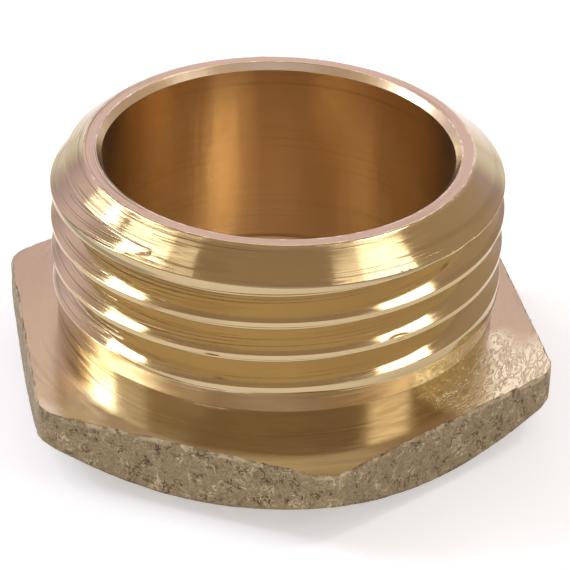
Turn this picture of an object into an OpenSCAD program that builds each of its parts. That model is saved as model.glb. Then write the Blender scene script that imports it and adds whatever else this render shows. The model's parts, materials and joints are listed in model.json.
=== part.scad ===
// Hollow plug with a hexagonal head and a male parallel pipe thread, turned from one brass forging.
// Millimetres. The plug stands on its head: Z = 0 is the head's end face, and +Z runs along the
// axis to the open, threaded end. Two flats of the hexagon face +X and -X.

/* [Head] */
// Width across the flats of the hexagon
across_flats = 19; // [18.5:0.5:24]
// Thickness from the end face to the sealing shoulder
head_h = 2.9; // [2.4:0.1:5]
// Radius of the upright corners of the hexagon
corner_r = 1.4; // [0.6:0.1:2.4]
// Diameter of the flat end face, inside the coned edge
end_face_d = 17.3; // [15:0.1:18]
// Slope of the coned edge, measured from the end face in degrees
cone_slope = 36; // [25:1:40]

/* [Shank] */
// Length from the sealing shoulder to the rim
shank_l = 7.1; // [6.5:0.1:12]
// Diameter of the plain neck next to the shoulder
neck_d = 16.3; // [16:0.05:16.6]
// Length of the plain neck
neck_l = 0.9; // [0.5:0.1:1.5]
// Height over which the neck widens to the thread's major diameter
neck_taper_h = 0.5; // [0.2:0.1:1]
// Radius of the fillet between the neck and the shoulder
neck_fillet_r = 0.2; // [0.1:0.05:0.4]
// Outer diameter of the flat rim
rim_d = 14.24; // [13.8:0.02:14.8]
// Height of the lead-in cone between the rim and the crests
lead_in_h = 1; // [0.6:0.1:1.6]

/* [Thread] */
// Major diameter, over the crests
major_d = 16.662; // [16.6:0.001:16.7]
// Pitch, crest to crest
pitch = 1.337; // [1.2:0.001:1.5]
// Depth from crest to root
thread_depth = 0.856; // [0.6:0.001:0.9]
// Angle between the two flanks, in degrees
thread_angle = 55; // [50:1:60]
// Height above the shoulder at which the groove runs out
run_out_h = 1.706; // [0.5:0.001:2.5]
// Direction about the axis in which the groove runs out, in degrees
run_out_angle = 4; // [0:1:359]
// Turns over which the groove fades from full depth to nothing
run_out_turns = 0.45; // [0.3:0.05:1.5]

/* [Bore] */
// Diameter of the hollow
bore_d = 12.88; // [11:0.02:13]
// Thickness of the closed end
floor_h = 2; // [1:0.1:2.3]
// Radius where the hollow's wall meets its floor
floor_fillet_r = 0.5; // [0.2:0.1:1]
// Diameter of the deburring chamfer at the mouth
mouth_d = 13.3; // [13.1:0.02:13.6]
// Height of the deburring chamfer at the mouth
mouth_h = 0.25; // [0.1:0.05:0.5]

/* [Hidden] */
$fn = 96;

total_h = head_h + shank_l;
major_r = major_d / 2;
flat_r = across_flats / 2;

// Angle at which a corner's round meets the flats, in degrees
corner_meet = 8;

// How far one solid reaches into another, or a cutter past a face, so that they join or cut cleanly
overlap = 0.3;

// The thread's groove is a helical channel: its root is an arc that both flanks touch
groove_steps_per_turn = 48;
groove_reach = 0.12;
// It starts clear of the crests and enters them between two steps, so that no step just touches them
groove_clear_steps = 1.5;
root_arc_steps = 4;
root_arc_half = 90 - thread_angle / 2;
root_arc_r = pitch / 12 / tan(root_arc_half / 2);
groove_turns = (shank_l - run_out_h) / pitch + 0.75;
groove_steps = ceil(groove_clear_steps + groove_turns * groove_steps_per_turn);

// Depth of the groove a number of turns above the place where it runs out
function groove_depth(turns) = thread_depth * min(1, turns / run_out_turns);

// Groove's section as [radius, height from its centre], from the lower lip round the root to the upper lip
function groove_section(depth) =
    let (arc_centre_r = major_r - depth + root_arc_r)
    let (flank_foot_r = arc_centre_r - root_arc_r * cos(root_arc_half))
    let (lip_r = max(major_r + groove_reach, flank_foot_r + groove_reach / 4))
    let (flank_foot_h = root_arc_r * sin(root_arc_half))
    let (lip_h = flank_foot_h + (lip_r - flank_foot_r) * tan(thread_angle / 2))
    [
        [lip_r, -lip_h],
        for (i = [0 : root_arc_steps])
            let (a = root_arc_half * (2 * i / root_arc_steps - 1))
            [arc_centre_r - root_arc_r * cos(a), root_arc_r * sin(a)],
        [lip_r, lip_h]
    ];

// Same section, placed a number of turns along the helix
function groove_ring(turns) =
    let (angle = run_out_angle + 360 * turns)
    let (height = head_h + run_out_h + pitch * turns)
    [for (p = groove_section(groove_depth(turns))) [p[0] * cos(angle), p[0] * sin(angle), height + p[1]]];

module thread_groove() {
    ring = root_arc_steps + 3;
    points = [
        for (i = [0 : groove_steps])
            each groove_ring((i - groove_clear_steps) / groove_steps_per_turn)
    ];
    sides = [
        for (i = [0 : groove_steps - 1])
            for (j = [0 : ring - 1])
                let (a = i * ring + j)
                let (b = i * ring + (j + 1) % ring)
                each [[a, b + ring, b], [a, a + ring, b + ring]]
    ];
    first_end = [for (j = [0 : ring - 1]) j];
    last_end = [for (j = [0 : ring - 1]) groove_steps * ring + ring - 1 - j];
    polyhedron(points, [first_end, each sides, last_end]);
}

// Waste beyond the round of one corner, with the corner on the X axis
module corner_waste() {
    corner_centre_r = (flat_r - corner_r * cos(corner_meet)) / cos(30);
    waste_start = corner_centre_r + corner_r * cos(corner_meet) * cos(30);
    difference() {
        translate([waste_start, -corner_r])
            square(2 * corner_r);
        translate([corner_centre_r, 0])
            circle(corner_r);
    }
}

// Hexagon with round corners, as drawn looking down on the head
module head_outline() {
    difference() {
        polygon([for (k = [0 : 5]) flat_r / cos(30) * [cos(60 * k + 30), sin(60 * k + 30)]]);
        for (k = [0 : 5])
            rotate(60 * k + 30)
                corner_waste();
    }
}

// Head: the hexagon inside a cone that bevels its lower edge
module head() {
    end_r = end_face_d / 2;
    intersection() {
        linear_extrude(head_h)
            head_outline();
        rotate_extrude()
            polygon([[0, 0], [end_r, 0], [end_r + head_h / tan(cone_slope), head_h], [0, head_h]]);
    }
}

// Shank as turned, before its thread is cut
module shank_blank() {
    neck_r = neck_d / 2;
    neck_top = head_h + neck_l;
    rotate_extrude()
        polygon([
            [0, head_h - overlap],
            [neck_r, head_h - overlap],
            [neck_r, neck_top],
            [major_r, neck_top + neck_taper_h],
            [major_r, total_h - lead_in_h],
            [rim_d / 2, total_h],
            [0, total_h]
        ]);
    translate([0, 0, head_h])
        rotate_extrude()
            translate([neck_r, 0])
                difference() {
                    translate([-overlap, -overlap])
                        square(neck_fillet_r + overlap);
                    translate([neck_fillet_r, neck_fillet_r])
                        circle(neck_fillet_r);
                }
}

// Hollow, from its floor to beyond the rim
module hollow() {
    bore_r = bore_d / 2;
    mouth_r = mouth_d / 2;
    rotate_extrude()
        difference() {
            polygon([
                [0, floor_h],
                [bore_r, floor_h],
                [bore_r, total_h - mouth_h],
                [mouth_r, total_h],
                [mouth_r, total_h + overlap],
                [0, total_h + overlap]
            ]);
            translate([bore_r - floor_fillet_r, floor_h])
                difference() {
                    translate([0, -overlap])
                        square([floor_fillet_r + overlap, floor_fillet_r + overlap]);
                    translate([0, floor_fillet_r])
                        circle(floor_fillet_r);
                }
        }
}

module plug_body() {
    color([0.79, 0.62, 0.36])
        difference() {
            union() {
                head();
                shank_blank();
            }
            thread_groove();
            hollow();
        }
}

plug_body();
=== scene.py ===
# %% [markdown]
# # Hollow brass plug with a hexagonal head
#
# The object is one piece of brass. A hexagonal head is forged, and its flats keep the rough
# skin of the die. Everything else is cut on a lathe: the sealing shoulder, the neck, a
# right-hand pipe thread, a lead-in cone, a narrow rim and a deep hollow. The plug stands on
# its head, with the open end up.
#
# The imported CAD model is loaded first. It gives the frame and the size that the visual model
# has to keep, and it stays where it is, hidden behind the piece that replaces it.

# %% Tools and the CAD frame
import json
import math

import bpy
import numpy as np
from mathutils import Matrix, Vector, noise

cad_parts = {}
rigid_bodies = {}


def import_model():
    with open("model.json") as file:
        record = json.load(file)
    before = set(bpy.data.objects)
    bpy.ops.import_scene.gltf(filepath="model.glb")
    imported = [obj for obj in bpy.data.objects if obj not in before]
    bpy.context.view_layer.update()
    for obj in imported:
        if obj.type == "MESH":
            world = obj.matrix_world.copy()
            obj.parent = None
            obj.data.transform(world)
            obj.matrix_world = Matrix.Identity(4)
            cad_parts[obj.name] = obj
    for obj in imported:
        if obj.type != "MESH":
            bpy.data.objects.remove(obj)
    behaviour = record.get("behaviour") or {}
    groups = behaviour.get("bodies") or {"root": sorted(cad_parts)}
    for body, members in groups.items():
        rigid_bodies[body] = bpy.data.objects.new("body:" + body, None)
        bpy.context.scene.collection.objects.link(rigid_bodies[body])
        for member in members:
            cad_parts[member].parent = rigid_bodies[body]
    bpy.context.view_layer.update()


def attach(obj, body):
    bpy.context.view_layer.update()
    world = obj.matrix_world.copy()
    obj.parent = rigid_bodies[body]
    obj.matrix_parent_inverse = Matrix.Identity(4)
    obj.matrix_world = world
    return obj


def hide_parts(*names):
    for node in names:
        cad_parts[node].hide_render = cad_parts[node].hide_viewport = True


for left_over in list(bpy.data.objects):
    bpy.data.objects.remove(left_over)
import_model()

# %% [markdown]
# ## One walk round the section
#
# A turned part is a section spun about an axis, so the whole plug can be one grid of points:
# columns at equal angles, and rows that walk along the section. The walk starts in the middle
# of the hollow's floor, climbs its wall, crosses the rim, comes down the thread and the neck,
# crosses the shoulder, goes over the hexagon's edge and ends in the middle of the end face.
# A boolean of solids would leave long thin faces that shine badly. A grid keeps every
# highlight smooth. The thread is the one part that isn't a plain spin, so its rows climb
# along the helix.
#
# Lengths here are in millimetres and become metres when the mesh is made.

# %% Sizes of the plug
MM = 0.001
COLUMNS = 540

total_height = 10.0
head_height = 2.9
flat_radius = 9.5
corner_round = 1.4
corner_meet = math.radians(8)
end_face_radius = 8.65
edge_slope = math.tan(math.radians(36))

neck_radius = 8.15
neck_top = 3.87
taper_top = 4.78
crest_radius = 8.331
cone_start = 9.06
rim_outer = 7.12
rim_inner = 6.65
bore_radius = 6.44
mouth_height = 0.25
floor_height = 2.0
floor_fillet = 0.5

pitch = 1.337
thread_depth = 0.856
flank_half_angle = math.radians(32)
run_out_angle = 4.0
run_out_height = head_height + 1.706
run_out_turns = 0.45

turn_share = np.arange(COLUMNS) / COLUMNS
angles = np.radians(run_out_angle + 360 * turn_share)
print(COLUMNS, "columns,", round(2 * math.pi * crest_radius / COLUMNS, 3), "mm apart on the crests")

# %% [markdown]
# ## Collecting the grid
#
# Each stretch of the walk adds rows of points, and the grid remembers which finish a stretch
# has. Neighbouring stretches share their border row, so points that fall on the same place
# are joined by their rounded coordinates at the end. A row may carry exact normals, taken
# from the formula of its surface, so that a fine chamfer doesn't bend the shading of the wide
# face beside it. Rows without exact normals get Blender's own.

# %% A collector for points and faces
points, normals, quads, finishes = [], [], [], []


def add_rows(rows, finish, row_normals=None, seam_step=0):
    """Adds a grid of rows by columns; at the seam a row joins the one seam_step further on."""
    rows = np.asarray(rows, float)
    start = sum(len(p) for p in points)
    count = len(rows)
    points.append(rows.reshape(-1, 3))
    if row_normals is None:
        row_normals = np.zeros_like(rows)
    normals.append(np.asarray(row_normals, float).reshape(-1, 3))
    row, column = np.meshgrid(np.arange(count - 1), np.arange(COLUMNS), indexing="ij")
    at_seam = column == COLUMNS - 1
    next_column = np.where(at_seam, 0, column + 1)
    next_row = row + np.where(at_seam, seam_step, 0)
    inside = (next_row >= 0) & (next_row + 1 < count)
    a = row * COLUMNS + column
    b = next_row * COLUMNS + next_column
    made = np.stack([a, a + COLUMNS, b + COLUMNS, b], -1)[inside] + start
    quads.append(made)
    finishes.append(np.full(len(made), finish))


def ring(radius, height):
    """One row of points at a radius and a height, either of which may change with the angle."""
    radius = np.broadcast_to(radius, COLUMNS)
    height = np.broadcast_to(height, COLUMNS)
    return np.stack([radius * np.cos(angles), radius * np.sin(angles), height], -1)


def ring_normals(outward, upward):
    """The normals of one row, from their share outwards and upwards."""
    return ring(outward, upward)


THREAD, FACE, BORE, FORGED = 0, 1, 2, 3

# %% [markdown]
# ## The hollow and the rim
#
# On the real plug a drill and a boring bar leave a plain round hollow, and a deburring tool
# breaks its mouth. Each corner of this section gets a small round, since a corner of zero
# radius never catches light. A list of corners with their rounds is the shortest way to say
# it, and it gives the exact normals at the same time.

# %% A section with rounded corners
def rounded_section(corners, steps=3):
    """Rows of radius, height and normal along a line of corners, each with its round."""
    rows = []
    for i, (r, z, size) in enumerate(corners):
        here = np.array([r, z])
        before = np.array(corners[i - 1][:2]) if i else None
        after = np.array(corners[i + 1][:2]) if i + 1 < len(corners) else None
        into = (here - before) / np.linalg.norm(here - before) if i else None
        out = (after - here) / np.linalg.norm(after - here) if after is not None else None
        if into is None or out is None or size == 0:
            along = out if into is None else into
            rows.append((*here, along[1], -along[0]))
            continue
        turn = math.atan2(into[0] * out[1] - into[1] * out[0], into @ out)
        reach = size * math.tan(abs(turn) / 2)
        side = math.copysign(1, turn)
        centre = here - into * reach + side * size * np.array([-into[1], into[0]])
        for t in np.linspace(0, 1, steps + 1):
            angle = turn * t
            along = np.array([into[0] * math.cos(angle) - into[1] * math.sin(angle),
                              into[0] * math.sin(angle) + into[1] * math.cos(angle)])
            place = centre - side * size * np.array([-along[1], along[0]])
            rows.append((*place, along[1], -along[0]))
    return rows


rim_round = 0.15
cone_run = np.array([rim_outer - crest_radius, total_height - cone_start])
cone_run /= np.linalg.norm(cone_run)
cone_end = np.array([rim_outer, total_height]) - cone_run * 0.6 * rim_round
mouth_depth = total_height - mouth_height
hollow_section = rounded_section([
    (*cone_end, 0),
    (rim_outer, total_height, rim_round),
    (rim_inner, total_height, 0.05),
    (bore_radius, mouth_depth, 0.05),
    (bore_radius, floor_height, floor_fillet),
    (0.25, floor_height, 0),
])
print(len(hollow_section), "rows from the cone over the rim to the floor")

# %% Rows of the rim, the mouth and the hollow
def edge_wander(swing, finest):
    """A worn edge's wander round the plug, between 0 and swing, from a noise read on a circle."""
    wander = []
    for a in angles:
        place = Vector((math.cos(a), math.sin(a), 0.37)) * finest
        wander.append(noise.fractal(place, 0.8, 2.1, 4))
    wander = np.array(wander)
    wander = (wander - wander.min()) / (wander.max() - wander.min())
    return swing * wander


rim_burr = edge_wander(0.045, 9.0)
rim_edge_rows = range(1, 5)
burr_drop = 0.25
rim_rows, rim_row_normals = [], []
for i, (r, z, outward, upward) in enumerate(hollow_section):
    share = 1.0 if i in rim_edge_rows else 0.0
    rim_rows.append(ring(r - share * rim_burr, z - burr_drop * share * rim_burr))
    rim_row_normals.append(ring_normals(outward, upward))
    if z == floor_height and r < 1:
        rim_rows.append(ring(0, z))
        rim_row_normals.append(ring_normals(0, upward))

rim_rows.reverse()
rim_row_normals.reverse()
rows_over_wall = 8
wall_rows = len(rim_rows) - rows_over_wall
add_rows(rim_rows[:wall_rows + 1], BORE, rim_row_normals[:wall_rows + 1])
add_rows(rim_rows[wall_rows:], THREAD, rim_row_normals[wall_rows:])
print("hollow", 2 * bore_radius, "mm wide and", total_height - floor_height, "mm deep")

# %% [markdown]
# ## The thread
#
# A lathe cuts this thread as one V-shaped groove with a round root, which climbs 1.337 mm a
# turn and fades out above the neck. A screw modifier can sweep one section along a helix, but
# it knows nothing of the cone at the top or of the run-out at the bottom. Here the radius is
# a formula of the angle and the height: the smaller of the turned blank and the groove, with
# a soft minimum between them that rounds the crest's lips as use does. A few dents and a
# ragged lip at the foot of the cone, where the die first bit, are pushed into the same radius.
# The rows of the grid follow the lips, so no edge is cut into steps.

# %% The turned blank and the groove as formulas
root_half = math.pi / 2 - flank_half_angle
root_round = 0.08
root_foot = root_round * math.sin(root_half)
lip_softness = 0.02
fade_start, fade_end, fade_share = 9.24, 9.47, 0.5
crease_widths = {neck_top: 0.04, taper_top: 0.03, cone_start: 0.03}


def sharp_blank(z):
    """Radius of the neck, its taper, the crests and the lead-in cone."""
    return np.interp(z, [neck_top, taper_top, cone_start, total_height],
                     [neck_radius, crest_radius, crest_radius, rim_outer])


def blank_radius(z):
    """The same with each crease rounded, as the mean over a short stretch of height."""
    width = np.interp(z, [4.5, 8.5], [crease_widths[neck_top], crease_widths[cone_start]])
    return sum(sharp_blank(z + width * s) for s in (-0.8, -0.4, 0, 0.4, 0.8)) / 5


def groove_depth(turns):
    """Depth of the groove, a number of turns above its run-out; it fades on the cone too."""
    past = np.clip((run_out_height + pitch * turns - fade_start) / (fade_end - fade_start), 0, 1)
    faded = 1 - fade_share * past**2 * (3 - 2 * past)
    return thread_depth * np.clip(turns / run_out_turns, 0, 1) * faded


def groove_radius(offset, depth):
    """Radius of the groove's wall at a height offset from its middle."""
    arc_centre = crest_radius - depth + root_round
    away = np.abs(offset)
    arc = arc_centre - np.sqrt(np.maximum(root_round**2 - away**2, 0))
    flank_foot = arc_centre - root_round * math.cos(root_half)
    flank = flank_foot + (away - root_foot) / math.tan(flank_half_angle)
    return np.where(away < root_foot, arc, flank)


# Each dent: bearing in degrees, height in mm, half width in degrees, half height and depth in mm.
dents = [
    (302, 8.93, 6.0, 0.05, 0.04),
    (313, 8.96, 2.5, 0.07, 0.06), (228, 7.43, 4.0, 0.05, 0.04), (244, 6.08, 2.0, 0.05, 0.05),
    (291, 6.35, 2.5, 0.06, 0.04), (205, 5.9, 4.0, 0.05, 0.05), (198, 7.2, 3.0, 0.05, 0.04),
    (330, 7.72, 3.0, 0.06, 0.05), (20, 8.2, 4.0, 0.06, 0.05), (75, 6.9, 3.0, 0.05, 0.05),
    (118, 8.4, 5.0, 0.05, 0.04), (150, 5.75, 3.0, 0.06, 0.05), (170, 7.1, 2.0, 0.05, 0.05),
]
ragged_depth, ragged_height = 0.032, 0.045
worst_bearing, worst_spread = 306, 17
ragged_turns = np.linspace(0, 1, 2881)
ragged_depths = []
for t in ragged_turns:
    a = 2 * math.pi * t
    place = Vector((math.cos(a), math.sin(a), 0.2)) * 45
    off_worst = abs((360 * t + run_out_angle - worst_bearing + 180) % 360 - 180)
    worn = 0.12 + 0.88 * math.exp(-((off_worst / worst_spread) ** 2))
    ragged_depths.append(ragged_depth * worn * max(noise.fractal(place, 0.9, 2.1, 3), 0))


def thread_radius(share, z):
    """Radius of the finished shank at a share of a turn past the run-out and a height."""
    turns_up = (z - run_out_height) / pitch - share
    turn = np.round(turns_up)
    depth = groove_depth(np.maximum(turn + share, 0))
    wall = groove_radius((turns_up - turn) * pitch, depth)
    blank = blank_radius(z)
    wall = np.where(turn < 0, blank + 1, wall)
    near = np.maximum(lip_softness - np.abs(blank - wall), 0) / lip_softness
    radius = np.minimum(blank, wall) - near**2 * lip_softness / 4
    for at, height, wide, tall, deep in dents:
        apart = (360 * share + run_out_angle - at + 180) % 360 - 180
        radius = radius - deep * np.exp(-((apart / wide) ** 2) - ((z - height) / tall) ** 2)
    ragged = np.interp(share % 1, ragged_turns, ragged_depths)
    return radius - ragged * np.exp(-(((z - cone_start) / ragged_height) ** 2))


print("root round", round(root_round, 3), "mm, depth", thread_depth, "mm")

# %% Rows that follow the lips
def lip_offsets(turn):
    """Height of the groove's middle, and how far below and above it its two lips lie."""
    turns = turn + turn_share
    depth = groove_depth(turns)
    middle = run_out_height + pitch * turns
    steps = np.linspace(0, 0.66, 166)[:, None]
    lips = []
    for side in (-1, 1):
        below = blank_radius(middle + side * steps) - groove_radius(side * steps, depth)
        last = np.where(below > 0, np.arange(len(steps))[:, None], 0).max(axis=0)
        last = np.minimum(last, len(steps) - 2)
        inner, outer = below[last, np.arange(COLUMNS)], below[last + 1, np.arange(COLUMNS)]
        part = np.clip(inner / np.maximum(inner - outer, 1e-9), 0, 1)
        lips.append(np.maximum((last + part) * steps[1], 0.05))
    return middle, lips[0], lips[1]


lip_gap = 0.012
flank_shares = (0.2, 0.45, 0.7)
crest_shares = (0.25, 0.5, 0.75)
first_turn, last_turn = -3, 4
thread_heights = []
for turn in range(first_turn, last_turn + 1):
    middle, lower, upper = lip_offsets(turn)
    next_middle, next_lower, _ = lip_offsets(turn + 1)
    for side, reach in ((-1, lower), (1, upper)):
        foot = np.minimum(root_foot, 0.6 * reach)
        gap = np.minimum(lip_gap, (reach - foot) / 3)
        from_lip = [reach, reach - gap]
        from_lip += [reach - gap - s * (reach - gap - foot) for s in flank_shares]
        from_lip += [foot, foot / 2]
        if side < 0:
            thread_heights += [middle - h for h in from_lip] + [middle]
        else:
            thread_heights += [middle + h for h in reversed(from_lip)]
    crest_start, crest_end = middle + upper, next_middle - next_lower
    width = crest_end - crest_start
    gap = np.minimum(lip_gap, width / 4)
    thread_heights.append(crest_start + gap)
    thread_heights += [crest_start + gap + s * (width - 2 * gap) for s in crest_shares]
    thread_heights.append(crest_end - gap)
rows_per_turn = len(thread_heights) // (last_turn - first_turn + 1)
thread_heights = np.array(thread_heights)
print(rows_per_turn, "rows a turn,", len(thread_heights), "in all")

# %% [markdown]
# The blank's own creases, such as the foot of the cone, are level circles, while the rows
# climb. The thread is therefore made in level bands. Each band takes all rows and clamps them
# between its two heights, so a crease gets a clean circle of points, and rows outside a band
# collapse onto its border and vanish when equal points are joined. At the seam a row meets
# the row one turn up.

# %% Bands between the level creases
normal_step = 0.004
levels = [head_height]
for level, width in crease_widths.items():
    levels += [level - width, level, level + width]
levels.append(cone_end[1])


def thread_points(share, z):
    """Points on the shank at the columns' angles."""
    radius = thread_radius(share, z)
    turned = np.radians(run_out_angle + 360 * share)
    return np.stack([radius * np.cos(turned), radius * np.sin(turned), z], -1)


for low, high in zip(levels, levels[1:]):
    z = np.clip(thread_heights, low, high)
    share = np.broadcast_to(turn_share, z.shape)
    step = normal_step / (2 * math.pi * crest_radius)
    round_way = thread_points(share + step, z) - thread_points(share - step, z)
    up_way = thread_points(share, z + normal_step) - thread_points(share, z - normal_step)
    facing = np.cross(round_way, up_way)
    facing /= np.linalg.norm(facing, axis=-1, keepdims=True)
    add_rows(thread_points(share, z)[::-1], THREAD, facing[::-1], seam_step=-rows_per_turn)
print(len(levels) - 1, "bands from", levels[0], "to", round(levels[-1], 3), "mm")

# %% [markdown]
# ## The shoulder and the hexagonal head
#
# The shoulder is turned flat, so that a washer seals on it. The head's flats and its coned
# lower edge are left as the die made them: a skin of shallow pits and short ridges, with a
# ragged line where the shoulder cut runs out through it. The hexagon is a radius by angle,
# the smaller of the nearest flat and the round of the nearest corner, so the same columns
# carry it. The skin is pushed inwards only, which keeps the head within its size. A joined
# point has one normal, so a hair-thin first strip of the shoulder keeps the neck's corner crisp.

# %% The hexagon as a radius by angle
corner_centre = (flat_radius - corner_round * math.cos(corner_meet)) / math.cos(math.pi / 6)


def hexagon_radius(inset):
    """Distance from the axis to the hexagon's outline, set in by a distance, by column."""
    off_flat = (angles + math.pi / 6) % (math.pi / 3) - math.pi / 6
    flat = (flat_radius - inset) / np.cos(off_flat)
    off_corner = math.pi / 6 - np.abs(off_flat)
    size = corner_round - inset
    meet = np.arccos((corner_round * math.cos(corner_meet) - inset) / size)
    turned = math.pi / 6 - meet
    last = np.arctan2(size * np.sin(turned), corner_centre + size * np.cos(turned))
    under = np.maximum(size**2 - (corner_centre * np.sin(off_corner)) ** 2, 0)
    corner = corner_centre * np.cos(off_corner) + np.sqrt(under)
    return np.where(off_corner < last, corner, flat)


print("across corners", round(2 * hexagon_radius(0).max(), 3), "mm")

# %% The shoulder
edge_inset = 0.02 + edge_wander(0.11, 26.0)
shoulder_edge = hexagon_radius(edge_inset)
shoulder_shares = (0, 0.003, 0.12, 0.3, 0.5, 0.7, 0.88, 1)
shoulder_rows = [ring(neck_radius + s * (shoulder_edge - neck_radius), head_height)
                 for s in shoulder_shares]
add_rows(shoulder_rows, FACE, [ring_normals(0, 1)] * len(shoulder_rows))
print("shoulder", neck_radius, "to", round(shoulder_edge.max(), 2), "mm from the axis")

# %% The forged skin of the flats, the coned edge and the end face
ridge_depth, swell_depth = 0.032, 0.018


def forged_skin(rows):
    """Pushes rows inwards by the die's pits and ridges, at most about 0.06 mm."""
    pushed = []
    for row in rows:
        new_row = row.copy()
        for i, p in enumerate(row):
            place = Vector(p)
            ridges = abs(noise.noise(place * 1.9)) + 0.6 * abs(noise.noise(place * 4.3))
            swell = 0.5 + 0.5 * noise.noise(place * 0.55)
            away = ridge_depth * min(ridges, 1.2) + swell_depth * swell
            reach = math.hypot(p[0], p[1])
            new_row[i, :2] *= 1 - away / reach
        pushed.append(new_row)
    return pushed


edge_drop = 0.05 + 0.4 * edge_inset
lip_rows = [shoulder_rows[-1],
            ring(hexagon_radius(0.45 * edge_inset), head_height - 0.35 * edge_drop)]
outline = hexagon_radius(0)
flat_top = head_height - edge_drop
cone_foot = (outline - end_face_radius) * edge_slope
flat_shares = np.linspace(0, 1, 15)
flat_rows = [ring(outline, flat_top + s * (cone_foot - flat_top)) for s in flat_shares]
cone_shares = (0.2, 0.45, 0.7, 0.9)
edge_rows = [ring(outline + s * (end_face_radius - outline), cone_foot * (1 - s))
             for s in cone_shares]
skin_rows = forged_skin(flat_rows + edge_rows)
end_rows = [ring(end_face_radius - 0.02, 0)]
add_rows(lip_rows + skin_rows + end_rows, FORGED)

end_radii = (end_face_radius - 0.02, 6.4, 3.2, 0.3, 0)
end_face_rows = [ring(r, 0) for r in end_radii]
add_rows(end_face_rows, FACE, [ring_normals(0, -1)] * len(end_face_rows))
print("flats", round((flat_top - cone_foot).min(), 2), "to",
      round((flat_top - cone_foot).max(), 2), "mm tall")

# %% [markdown]
# ## Joining the grid into one closed mesh
#
# Equal points become one vertex, and a quad that lost a corner becomes a triangle or goes.
# The exact normals are handed to Blender as custom normals. A zero normal asks Blender to
# use its own, which suits the rough head.

# %% One mesh for the whole plug
all_points = np.concatenate(points)
all_normals = np.concatenate(normals)
all_quads = np.concatenate(quads)
all_finishes = np.concatenate(finishes)
_, first, joined = np.unique(np.round(all_points, 5) + 0.0, axis=0,
                             return_index=True, return_inverse=True)
joined = joined.ravel()
all_quads = joined[all_quads]
faces, face_finishes = [], []
for quad, finish in zip(all_quads.tolist(), all_finishes.tolist()):
    corners = [v for i, v in enumerate(quad) if v != quad[i - 1]]
    if len(set(corners)) == len(corners) >= 3:
        faces.append(corners)
        face_finishes.append(finish)
used = np.unique(np.concatenate([np.array(f) for f in faces]))
renumber = np.full(len(first), -1)
renumber[used] = np.arange(len(used))
faces = [[int(renumber[v]) for v in f] for f in faces]

mesh = bpy.data.meshes.new("brass_plug")
mesh.from_pydata((all_points[first][used] * MM).tolist(), [], faces)
mesh.polygons.foreach_set("use_smooth", [True] * len(faces))
mesh.polygons.foreach_set("material_index", face_finishes)
mesh.update()
mesh.normals_split_custom_set_from_vertices(all_normals[first][used].tolist())
plug = bpy.data.objects.new("brass_plug", mesh)
bpy.context.scene.collection.objects.link(plug)

edge_uses = {}
for face in faces:
    for i, v in enumerate(face):
        key = (min(v, face[i - 1]), max(v, face[i - 1]))
        edge_uses[key] = edge_uses.get(key, 0) + 1
open_edges = sum(1 for n in edge_uses.values() if n != 2)
triangles = sum(len(f) - 2 for f in faces)
print("plug:", len(used), "points,", triangles, "triangles,", open_edges, "open edges")

# %% [markdown]
# ## Where the tool went: coordinates for a turned part
#
# Every mark on this plug follows the lathe: lines run round the axis, and they are spaced by
# radius on a face and by height on a wall. A UV map could say that, but a small node group
# reads it straight from the object's own coordinates, and every finish can use the group. The
# angle goes out as a point on a circle, so a pattern has no seam where a full turn ends.

# %% Node helpers
def new_group(name, inputs, outputs):
    """An empty shader node group with number sockets, and its two end nodes."""
    group = bpy.data.node_groups.new(name, "ShaderNodeTree")
    for label, value in inputs.items():
        socket = group.interface.new_socket(label, in_out="INPUT", socket_type="NodeSocketFloat")
        socket.default_value = value
    for label in outputs:
        group.interface.new_socket(label, in_out="OUTPUT", socket_type="NodeSocketFloat")
    return group, group.nodes.new("NodeGroupInput"), group.nodes.new("NodeGroupOutput")


def use_group(tree, group, values=None):
    """Places a node group in a tree and sets its inputs."""
    node = tree.nodes.new("ShaderNodeGroup")
    node.node_tree = group
    for label, value in (values or {}).items():
        feed(tree, node.inputs[label], value)
    return node


def feed(tree, socket, value):
    """Gives a socket a number, or a link from another socket."""
    if isinstance(value, (int, float)):
        socket.default_value = value
    else:
        tree.links.new(value, socket)


def math_node(tree, operation, first_value, second_value=0.0):
    """A math node on sockets or numbers; returns its output."""
    node = tree.nodes.new("ShaderNodeMath")
    node.operation = operation
    feed(tree, node.inputs[0], first_value)
    feed(tree, node.inputs[1], second_value)
    return node.outputs[0]


def product(tree, first_value, second_value):
    """Two values multiplied; returns the output."""
    return math_node(tree, "MULTIPLY", first_value, second_value)


def noise_node(tree, vector, scale, detail, roughness=0.5, distortion=0.0):
    """A noise texture read at a vector; returns its value."""
    node = tree.nodes.new("ShaderNodeTexNoise")
    tree.links.new(vector, node.inputs["Vector"])
    node.inputs["Scale"].default_value = scale
    node.inputs["Detail"].default_value = detail
    node.inputs["Roughness"].default_value = roughness
    node.inputs["Distortion"].default_value = distortion
    return node.outputs[0]


def range_node(tree, value, low, high, to_low=0.0, to_high=1.0):
    """A clamped smooth step of a value from one range to another; returns its output."""
    node = tree.nodes.new("ShaderNodeMapRange")
    node.interpolation_type = "SMOOTHSTEP"
    tree.links.new(value, node.inputs["Value"])
    for label, number in zip(("From Min", "From Max", "To Min", "To Max"),
                             (low, high, to_low, to_high)):
        feed(tree, node.inputs[label], number)
    return node.outputs[0]


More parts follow.
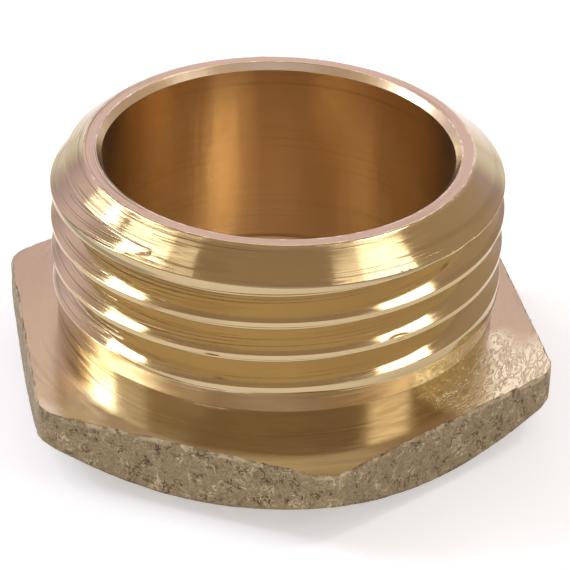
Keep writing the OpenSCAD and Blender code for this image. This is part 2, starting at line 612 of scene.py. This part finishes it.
# %% The lathe coordinates group
lathe, _, lathe_out = new_group(
    "lathe_coordinates", {}, ("Radius", "Height", "Cosine", "Sine"))
place = lathe.nodes.new("ShaderNodeTexCoord")
axes = lathe.nodes.new("ShaderNodeSeparateXYZ")
lathe.links.new(place.outputs["Object"], axes.inputs[0])
x, y, z = (product(lathe, axes.outputs[i], 1 / MM) for i in range(3))
radius = math_node(lathe, "SQRT", math_node(lathe, "ADD", product(lathe, x, x), product(lathe, y, y)))
safe_radius = math_node(lathe, "MAXIMUM", radius, 0.001)
for label, value in (("Radius", radius), ("Height", z),
                     ("Cosine", math_node(lathe, "DIVIDE", x, safe_radius)),
                     ("Sine", math_node(lathe, "DIVIDE", y, safe_radius))):
    lathe.links.new(value, lathe_out.inputs[label])


def spread_round(tree, where, label, along, around):
    """Lathe coordinates stretched by one scale along a direction and another round the axis."""
    node = tree.nodes.new("ShaderNodeCombineXYZ")
    for socket, name, scale in zip(node.inputs, (label, "Cosine", "Sine"), (along, around, around)):
        tree.links.new(product(tree, where.outputs[name], scale), socket)
    return node.outputs[0]


def facing(tree, where, bearing):
    """How much a place faces a bearing: 1 on it, 0 a quarter turn away."""
    turn = math.radians(bearing)
    return math_node(tree, "ADD", product(tree, where.outputs["Cosine"], math.cos(turn)),
                     product(tree, where.outputs["Sine"], math.sin(turn)))


print("group:", lathe.name)

# %% [markdown]
# ## Tool lines, patina and crooked marks
#
# A cutting edge leaves lines that are very fine across and very long round the axis. A noise
# that is squeezed across and stretched along gives them, with some lines deep and most of
# them faint. Brass that has been handled also carries a patina: wide soft clouds in which the
# gold turns browner or rosier. Scuffs and forging marks are crooked: thin lines along which a
# noise crosses its middle value. All three serve several finishes, so all three are groups.

# %% The tool lines group
tool_lines, lines_in, lines_out = new_group(
    "tool_lines",
    {"By radius": 1.0, "By height": 1.0, "Lines per mm": 12.0, "Breaks": 3.0},
    ("Lines", "Scratches", "Torn", "Worn side"))
where = use_group(tool_lines, lathe)
across = math_node(
    tool_lines, "ADD",
    product(tool_lines, where.outputs["Radius"], lines_in.outputs["By radius"]),
    product(tool_lines, where.outputs["Height"], lines_in.outputs["By height"]))
across = product(tool_lines, across, lines_in.outputs["Lines per mm"])
stretched = tool_lines.nodes.new("ShaderNodeCombineXYZ")
tool_lines.links.new(across, stretched.inputs[0])
for label, socket in (("Cosine", stretched.inputs[1]), ("Sine", stretched.inputs[2])):
    along = product(tool_lines, where.outputs[label], lines_in.outputs["Breaks"])
    tool_lines.links.new(along, socket)
fine = noise_node(tool_lines, stretched.outputs[0], 1.0, 3.0, 0.6)
tool_lines.links.new(fine, lines_out.inputs["Lines"])
deep = noise_node(tool_lines, stretched.outputs[0], 0.37, 1.0, 0.4)
tool_lines.links.new(range_node(tool_lines, deep, 0.56, 0.72), lines_out.inputs["Scratches"])
long_lines = tool_lines.nodes.new("ShaderNodeCombineXYZ")
tool_lines.links.new(product(tool_lines, across, 2.4), long_lines.inputs[0])
tool_lines.links.new(where.outputs["Cosine"], long_lines.inputs[1])
tool_lines.links.new(where.outputs["Sine"], long_lines.inputs[2])
torn = noise_node(tool_lines, long_lines.outputs[0], 1.0, 1.0, 0.4)
torn = range_node(tool_lines, torn, 0.58, 0.66)
torn_bearing = 170
facing_side = facing(tool_lines, where, torn_bearing)
patches = noise_node(tool_lines, stretched.outputs[0], 0.11, 2.0, 0.5)
patches = math_node(tool_lines, "ADD", patches,
                    range_node(tool_lines, facing_side, 0.35, 0.90, 0.0, 0.34))
torn = product(tool_lines, torn, range_node(tool_lines, patches, 0.57, 0.72))
tool_lines.links.new(torn, lines_out.inputs["Torn"])
tool_lines.links.new(range_node(tool_lines, facing_side, -0.1, 0.8, 0.12, 1.0),
                     lines_out.inputs["Worn side"])
print("group:", tool_lines.name)

# %% The patina group
patina, _, patina_out = new_group("patina", {}, ("Clouds",))
place = patina.nodes.new("ShaderNodeTexCoord")
clouds = noise_node(patina, place.outputs["Object"], 170.0, 3.0, 0.55, 0.4)
patina.links.new(range_node(patina, clouds, 0.35, 0.68), patina_out.inputs["Clouds"])
print("group:", patina.name)

# %% The crooked marks group
crooked, crooked_in, crooked_out = new_group("crooked_marks", {"Waves": 0.5, "Thin": 0.07}, ("Marks",))
off_middle = math_node(crooked, "SUBTRACT", crooked_in.outputs["Waves"], 0.5)
off_middle = math_node(crooked, "ABSOLUTE", off_middle)
crooked.links.new(range_node(crooked, off_middle, crooked_in.outputs["Thin"], 0.0),
                  crooked_out.inputs["Marks"])
print("group:", crooked.name)

# %% [markdown]
# ## The turned finishes
#
# Three finishes come off the same lathe: the thread with its neck and rim, the wide shoulder,
# and the hollow. All three are bare metal, so colour is reflectance, and what tells them
# apart is how the tool lines run and how rough they leave the surface. One function builds a
# material from those numbers. Metallic is the same all over, so it is set on the shader
# itself; colour, roughness and bump come from the groups.
#
# Painted light is added as well: a lighter gold on the taper below the thread, which is a painted
# reflection, and on the rim, which is a painted highlight; a broken bright line along the rim's edges,
# a painted glint of its burr; and a shoulder painted light on two sides as a painted highlight, one of
# them also scuffed. The last cuts leave upright streaks on the hollow's wall. Each is one argument of
# the function.

# %% A turned brass material
def mixed_colour(tree, share, low, high):
    """A mix of two colours by a share; each is a colour or a socket. Returns its output."""
    node = tree.nodes.new("ShaderNodeMix")
    node.data_type = "RGBA"
    tree.links.new(share, node.inputs[0])
    for socket, value in ((node.inputs[6], low), (node.inputs[7], high)):
        if isinstance(value, tuple):
            socket.default_value = (*value, 1)
        else:
            tree.links.new(value, socket)
    return node.outputs[2]


def bumped(tree, height, depth_mm):
    """A bump of a given depth; returns its normal."""
    node = tree.nodes.new("ShaderNodeBump")
    node.inputs["Strength"].default_value = 1
    node.inputs["Distance"].default_value = depth_mm * MM
    tree.links.new(height, node.inputs["Height"])
    return node.outputs[0]


def empty_material(name):
    """A material with only its Principled shader and output; returns both trees' ends."""
    material = bpy.data.materials.new(name)
    material.use_nodes = True
    return material, material.node_tree, material.node_tree.nodes["Principled BSDF"]


def scuffs_and_highlight(tree, bearing, start, end):
    """Where a bearing's side of the face is painted light, as a painted highlight, and the crooked
    scuffs there.
    """
    where = use_group(tree, lathe)
    spread = spread_round(tree, where, "Radius", 3.0, 11.0)
    waves = noise_node(tree, spread, 1.0, 2.0, 0.5, 1.6)
    marks = use_group(tree, crooked, {"Waves": waves, "Thin": 0.07}).outputs["Marks"]
    wander = 0.08
    wide = noise_node(tree, spread, 0.3, 2.0)
    edge = math_node(tree, "ADD", facing(tree, where, bearing), product(tree, wide, wander))
    place = range_node(tree, edge, start + wander / 2, end + wander / 2)
    return place, product(tree, place, marks)


def burr_glint_mask(tree, edge_radius):
    """The broken bright line along one edge of the rim, a painted glint of a fine burr."""
    where = use_group(tree, lathe)
    off_edge = math_node(tree, "SUBTRACT", where.outputs["Radius"], edge_radius)
    beside = range_node(tree, math_node(tree, "ABSOLUTE", off_edge), 0.07, 0.02, 0.0, 0.95)
    on_rim = range_node(tree, where.outputs["Height"], 9.80, 9.90)
    around = spread_round(tree, where, "Radius", 9.0, 14.0)
    short_breaks = range_node(tree, noise_node(tree, around, 1.0, 4.0, 0.7), 0.44, 0.60)
    long_breaks = range_node(tree, noise_node(tree, around, 0.25, 2.0), 0.42, 0.54)
    broken = product(tree, short_breaks, long_breaks)
    return product(tree, product(tree, beside, on_rim), broken)


def painted_band_mask(tree, low, high):
    """A belt round the plug between two heights, with soft borders, for a band of painted light."""
    height = use_group(tree, lathe).outputs["Height"]
    border = 0.03
    above = range_node(tree, height, low - border, low + border)
    below = range_node(tree, height, high + border, high - border)
    return product(tree, above, below)


def upright_streaks(tree, per_radius, depth, wall_start, wall_end):
    """The height of streaks that stand upright on a wall between two radii."""
    where = use_group(tree, lathe)
    wave = noise_node(tree, spread_round(tree, where, "Height", 0.2, per_radius), 1.0, 2.0, 0.5)
    on_wall = range_node(tree, where.outputs["Radius"], wall_start, wall_end, 0.0, depth)
    return product(tree, wave, on_wall)


# A pale tone for the painted glint along the rim's broken edges.
burr_glint_tone = (0.95, 0.84, 0.58)


def turned_brass(name, gold, tan, lines, roughness, depths, tear=0.0, bands=(), highlights_and_scuffs=(),
                 streaks=None, painted_glint_edges=()):
    """Bare turned brass: patina between two golds, lines in its roughness and its bump.

    Depths are those of the lines, scratches and tears, in thousandths of a millimetre.
    """
    material, tree, shader = empty_material(name)
    shader.inputs["Metallic"].default_value = 1
    cloud = use_group(tree, patina)
    line = use_group(tree, tool_lines, lines)
    tone = mixed_colour(tree, cloud.outputs["Clouds"], gold, tan)
    # Painted light: lighter belts of gold, a painted reflection on the taper and a painted highlight
    # on the rim.
    for low, high, painted_light_tone in bands:
        tone = mixed_colour(tree, painted_band_mask(tree, low, high), tone, painted_light_tone)
    # Painted highlight: a broken bright line along each given rim edge, standing for a burr's glint.
    for edge_radius in painted_glint_edges:
        tone = mixed_colour(tree, burr_glint_mask(tree, edge_radius), tone, burr_glint_tone)
    in_scratch = product(tree, line.outputs["Scratches"], 0.35)
    tone = mixed_colour(tree, in_scratch, tone, tuple(0.7 * c for c in tan))
    in_tear = product(tree, line.outputs["Torn"], tear)
    tone = mixed_colour(tree, in_tear, tone, tuple(0.45 * c for c in tan))
    rough = range_node(tree, line.outputs["Lines"], 0.3, 0.7, *roughness)
    height = product(tree, line.outputs["Lines"], depths[0])
    if tear:
        height = product(tree, height, line.outputs["Worn side"])
    if streaks:
        height = math_node(tree, "ADD", height, upright_streaks(tree, *streaks))
    # Painted highlight: one side of the face is painted light, and where a depth is given it is
    # scuffed as well.
    for bearing, start, end, highlight_and_scuff_tone, depth in highlights_and_scuffs:
        place, marks = scuffs_and_highlight(tree, bearing, start, end)
        tone = mixed_colour(tree, place, tone, highlight_and_scuff_tone)
        if not depth:
            continue
        tone = mixed_colour(tree, product(tree, marks, 0.5), tone, tan)
        rough = math_node(tree, "ADD", rough, product(tree, place, 0.06))
        height = math_node(tree, "SUBTRACT", height, product(tree, marks, depth))
    tree.links.new(tone, shader.inputs["Base Color"])
    tree.links.new(rough, shader.inputs["Roughness"])
    for label, depth in (("Scratches", depths[1]), ("Torn", depths[2])):
        cut = product(tree, line.outputs[label], depth)
        height = math_node(tree, "SUBTRACT", height, cut)
    tree.links.new(bumped(tree, height, 0.001), shader.inputs["Normal"])
    return material


gold_tone = (0.57, 0.44, 0.242)
tan_tone = (0.525, 0.405, 0.226)
thread_brass = turned_brass(
    "thread_brass", gold_tone, tan_tone,
    {"By radius": 1.6, "By height": 0.35, "Lines per mm": 6.0, "Breaks": 4.5},
    (0.07, 0.14), (3.0, 1.5, 5.0), tear=0.85,
    # The taper's lighter belt is a painted reflection, the rim's a painted highlight.
    bands=((neck_top, taper_top - 0.04, (0.80, 0.68, 0.50)),
           (total_height - 0.06, total_height + 0.2, (0.66, 0.50, 0.285))),
    painted_glint_edges=(rim_outer - 0.02, rim_inner + 0.02))
shoulder_brass = turned_brass(
    "shoulder_brass", gold_tone, (0.535, 0.41, 0.238),
    {"By radius": 1.0, "By height": 0.0, "Lines per mm": 8.0, "Breaks": 6.0},
    (0.17, 0.27), (1.6, 1.5, 0.0),
    # At bearing 322 real scuffs and a painted highlight; at 225 a painted highlight only.
    highlights_and_scuffs=((322, 0.925, 0.97, (0.86, 0.77, 0.48), 11.0),
            (225, 0.94, 0.99, (0.74, 0.65, 0.45), 0.0)))
# The hollow's gold is lighter than the thread's: painted light that lifts the shade inside the hollow.
bore_brass = turned_brass(
    "bore_brass", (0.73, 0.570, 0.352), (0.69, 0.530, 0.32),
    {"By radius": 1.0, "By height": 1.0, "Lines per mm": 16.0, "Breaks": 0.8},
    (0.25, 0.27), (0.02, 0.0, 0.0), streaks=(10.0, 16.0, 6.2, 6.4))
print("turned finishes:", thread_brass.name, shoulder_brass.name, bore_brass.name)

# %% [markdown]
# ## The forged finish
#
# The flats keep the grain of the die: crooked short ridges and pits a few tenths of a
# millimetre long. Their creases are darkened as painted shade, thin crooked lines are painted
# bright as glints, and the upper edge is lighter in patches, partly rubbed wear and partly a painted
# highlight. The mesh already has the larger swells. The shader adds the small ones, from the same
# noises for colour and bump, so that light and colour agree.

# %% The forged brass material
forged_brass, tree, shader = empty_material("forged_brass")
shader.inputs["Metallic"].default_value = 1
place = tree.nodes.new("ShaderNodeTexCoord")
grain = noise_node(tree, place.outputs["Object"], 6400.0, 3.0, 0.65, 1.4)
lumps = noise_node(tree, place.outputs["Object"], 1500.0, 2.0, 0.5, 0.6)


def forging_marks(scale, thin, patch_scale):
    """Short crooked marks, kept in patches only."""
    waves = noise_node(tree, place.outputs["Object"], scale, 2.0, 0.5, 1.5)
    marks = use_group(tree, crooked, {"Waves": waves, "Thin": thin}).outputs["Marks"]
    patch = noise_node(tree, place.outputs["Object"], patch_scale, 2.0)
    return product(tree, marks, range_node(tree, patch, 0.49, 0.60))


creases = forging_marks(2900.0, 0.06, 2100.0)
glint_lines = forging_marks(2300.0, 0.045, 1700.0)
relief = math_node(tree, "ADD", product(tree, grain, 0.45), product(tree, lumps, 0.35))
relief = math_node(tree, "SUBTRACT", relief, product(tree, creases, 0.30))
dull_tan, light_tan = (0.262, 0.200, 0.115), (0.338, 0.262, 0.153)
# Painted light: the crease colour is painted shade, the ridge gold a painted glint, and the rubbed
# gold partly wear, partly a painted highlight.
crease_shade_brown, glint_gold, rubbed_and_highlight_gold = (0.115, 0.070, 0.036), (0.70, 0.58, 0.38), (0.74, 0.61, 0.40)
tone = mixed_colour(tree, range_node(tree, grain, 0.36, 0.64), dull_tan, light_tan)
# Painted shade: the creases are darkened.
tone = mixed_colour(tree, creases, tone, crease_shade_brown)
# Painted highlight: thin crooked lines painted bright, as glints on the ridges.
tone = mixed_colour(tree, product(tree, glint_lines, 0.6), tone, glint_gold)
# Lighter patches along the upper edge: partly rubbed wear, partly a painted highlight.
at_edge = range_node(tree, use_group(tree, lathe).outputs["Height"], 2.66, 2.84)
rubbed_and_highlit = product(tree, at_edge, range_node(tree, lumps, 0.46, 0.58))
tone = mixed_colour(tree, product(tree, rubbed_and_highlit, 0.5), tone, rubbed_and_highlight_gold)
tree.links.new(tone, shader.inputs["Base Color"])
tree.links.new(range_node(tree, grain, 0.35, 0.7, 0.60, 0.42), shader.inputs["Roughness"])
tree.links.new(bumped(tree, relief, 0.10), shader.inputs["Normal"])
for material in (thread_brass, shoulder_brass, bore_brass, forged_brass):
    mesh.materials.append(material)
print("finishes on the plug:", [m.name for m in mesh.materials])

# %% The plug takes the place of the CAD solid
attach(plug, "root")
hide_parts("plug_body")
print("plug rides on the root body")

# %% [markdown]
# ## Floor, light and camera
#
# The photograph is a plain product shot: a white floor that melts into a white background,
# soft lights on the left and on the right, and a dim warm room overhead. Metal shows what is
# round it, so the room matters as much as the lamps: white low down, a rosy pale wall behind,
# and a warm half-dark overhead, which is what the flanks and the cone mirror. The floor glows
# a little for the camera and for mirrors only, so it looks white and still takes a shadow.

# %% The white floor
floor_size = 1.2
floor_mesh = bpy.data.meshes.new("floor")
half = floor_size / 2
floor_mesh.from_pydata([(-half, -half, 0), (half, -half, 0), (half, half, 0), (-half, half, 0)],
                       [], [(0, 1, 2, 3)])
floor = bpy.data.objects.new("floor", floor_mesh)
bpy.context.scene.collection.objects.link(floor)

floor_white, tree, shader = empty_material("floor_white")
shader.inputs["Base Color"].default_value = (0.80, 0.82, 0.83, 1)
shader.inputs["Roughness"].default_value = 0.9
shader.inputs["Specular IOR Level"].default_value = 0
path = tree.nodes.new("ShaderNodeLightPath")
seen = math_node(tree, "MAXIMUM", path.outputs["Is Camera Ray"], path.outputs["Is Glossy Ray"])
seen = math_node(tree, "MAXIMUM", seen, path.outputs["Is Transmission Ray"])
glow = tree.nodes.new("ShaderNodeEmission")
floor_glow = 0.40
tree.links.new(product(tree, seen, floor_glow), glow.inputs["Strength"])
both = tree.nodes.new("ShaderNodeAddShader")
tree.links.new(shader.outputs[0], both.inputs[0])
tree.links.new(glow.outputs[0], both.inputs[1])
tree.links.new(both.outputs[0], tree.nodes["Material Output"].inputs["Surface"])
floor_mesh.materials.append(floor_white)
print("floor", floor_size, "m across")

# %% The room round the plug
world = bpy.data.worlds.new("studio_room")
world.use_nodes = True
bpy.context.scene.world = world
tree = world.node_tree
direction = tree.nodes.new("ShaderNodeTexCoord")
axes = tree.nodes.new("ShaderNodeSeparateXYZ")
tree.links.new(direction.outputs["Generated"], axes.inputs[0])
camera_bearing = 258.88
to_camera = Vector((math.cos(math.radians(camera_bearing)),
                    math.sin(math.radians(camera_bearing)), 0))


def tones_by_height(tones):
    """A colour ramp over the height of a direction; returns its colour."""
    ramp = tree.nodes.new("ShaderNodeValToRGB")
    tree.links.new(axes.outputs[2], ramp.inputs[0])
    while len(ramp.color_ramp.elements) < len(tones):
        ramp.color_ramp.elements.new(0.5)
    for element, (height, tone) in zip(ramp.color_ramp.elements, tones):
        element.position = height
        element.color = (*tone, 1)
    return ramp.outputs[0]


def wall_share(turned, start, end):
    """How much a direction faces a wall that stands some degrees round from the camera."""
    bearing = math.radians(camera_bearing + turned)
    node = tree.nodes.new("ShaderNodeVectorMath")
    node.operation = "DOT_PRODUCT"
    tree.links.new(direction.outputs["Generated"], node.inputs[0])
    node.inputs[1].default_value = (math.cos(bearing), math.sin(bearing), 0)
    return range_node(tree, node.outputs["Value"], start, end)


white, overhead = (1.0, 1.0, 1.0), (0.46, 0.35, 0.26)
side_walls = tones_by_height([(0.0, white), (0.08, white), (0.20, (0.58, 0.48, 0.54)),
                              (0.42, (0.56, 0.46, 0.40)), (0.80, (0.50, 0.38, 0.28)),
                              (1.0, overhead)])
back_wall = tones_by_height([(0.0, white), (0.08, white), (0.22, (0.62, 0.52, 0.68)),
                             (0.40, (0.99, 0.87, 1.16)), (0.48, (0.96, 0.84, 1.12)),
                             (0.54, (0.82, 0.71, 0.98)), (0.76, (0.50, 0.40, 0.33)),
                             (1.0, overhead)])
front_wall = tones_by_height([(0.0, white), (0.20, white), (0.40, (0.62, 0.58, 0.62)),
                              (0.60, (0.48, 0.40, 0.40)), (0.74, (0.55, 0.50, 0.55)),
                              (0.80, (0.90, 0.96, 1.40)), (0.88, (0.90, 0.96, 1.40)),
                              (0.93, overhead), (1.0, overhead)])
room = mixed_colour(tree, wall_share(195, 0.45, 0.75), side_walls, back_wall)
room = mixed_colour(tree, wall_share(0, 0.35, 0.70), room, front_wall)
tree.links.new(room, tree.nodes["Background"].inputs["Color"])
print("room: a pale wall behind, dim ones elsewhere")

# %% [markdown]
# A polished cone or flank is a mirror, so a lamp's place decides where its highlight falls and
# its size how long it is. One large lamp would light the cone and every flank in one streak.
# Small soft boxes are placed instead, each in the direction that one kind of surface mirrors
# towards the camera: the cone, the flanks, or the upright neck with the shoulder below it. A
# weaker box beside a strong one softens the end of a highlight.

# %% The soft boxes
plug_centre = Vector((0, 0, 5)) * MM
to_right = Vector((-to_camera.y, to_camera.x, 0))


def soft_box(name, first_end, last_end, wide, level, tint=(1.0, 0.99, 0.97)):
    """An area lamp between two directions from the plug, given towards the camera, right and up.

    The level is how bright a mirror shows it, where 1 is white paper in the same light.
    """
    ends = [to_camera * e[0] + to_right * e[1] + Vector((0, 0, e[2]))
            for e in (first_end, last_end)]
    way = (ends[0] + ends[1]).normalized()
    along = (ends[1] - ends[0]).normalized()
    across_box = along.cross(way).normalized()
    length = (ends[1] - ends[0]).length * box_distance
    lamp = bpy.data.lights.new(name, "AREA")
    lamp.shape = "RECTANGLE"
    lamp.size, lamp.size_y = wide, length
    lamp.energy = level * math.pi * wide * length
    lamp.color = tint
    box = bpy.data.objects.new(name, lamp)
    box.matrix_world = Matrix((across_box, way.cross(across_box), way)).transposed().to_4x4()
    box.matrix_world.translation = plug_centre + way * box_distance
    bpy.context.scene.collection.objects.link(box)


box_distance = 0.30
daylight = (0.85, 1.0, 1.35)
soft_box("left_cone_box", (-0.456, -0.77, 0.450), (-0.174, -0.746, 0.645), 0.028, 3.8)
soft_box("left_cone_end_box", (-0.125, -0.730, 0.675), (0.130, -0.560, 0.818), 0.028, 4.2)
soft_box("left_cone_soft_box", (0.130, -0.560, 0.818), (0.225, -0.430, 0.873), 0.028, 1.1)
soft_box("left_flank_box", (-0.33, -0.620, 0.712), (-0.155, -0.525, 0.837), 0.056, 8.0)
soft_box("right_cone_box", (0.215, 0.452, 0.866), (0.012, 0.658, 0.753), 0.028, 3.8)
soft_box("right_cone_soft_box", (0.300, 0.320, 0.899), (0.215, 0.452, 0.866), 0.028, 1.6)
soft_box("right_flank_box", (-0.010, 0.390, 0.921), (-0.215, 0.570, 0.793), 0.058, 7.0)
soft_box("left_low_box", (-0.03, -0.825, 0.565), (-0.30, -0.768, 0.565), 0.042, 14.0, daylight)
soft_box("left_low_soft_box", (0.30, -0.769, 0.565), (-0.03, -0.825, 0.565), 0.042, 0.9, daylight)
soft_box("right_low_box", (0.51, 0.640, 0.575), (0.19, 0.800, 0.575), 0.050, 3.2, daylight)
soft_box("back_box", (-0.76, -0.14, 0.63), (-0.76, 0.20, 0.63), 0.035, 1.7)
print(len(bpy.data.lights), "soft boxes")

# %% The camera
camera_data = bpy.data.cameras.new("camera")
camera_data.sensor_width = 36
camera_data.lens = 166.565
camera_data.clip_start, camera_data.clip_end = 0.005, 10
camera = bpy.data.objects.new("camera", camera_data)
camera.location = Vector((-16.219, -82.515, 56.323)) * MM
look = Vector((0.0523, -1.6104, 5.0)) * MM - camera.location
camera.rotation_mode = "QUATERNION"
lean = Matrix.Rotation(math.radians(1.793), 3, "Z").to_quaternion()
camera.rotation_quaternion = look.to_track_quat("-Z", "Y") @ lean
bpy.context.scene.collection.objects.link(camera)
bpy.context.scene.camera = camera
bpy.context.scene.view_settings.view_transform = "Standard"
print("camera", round(look.length / MM, 1), "mm from the plug")
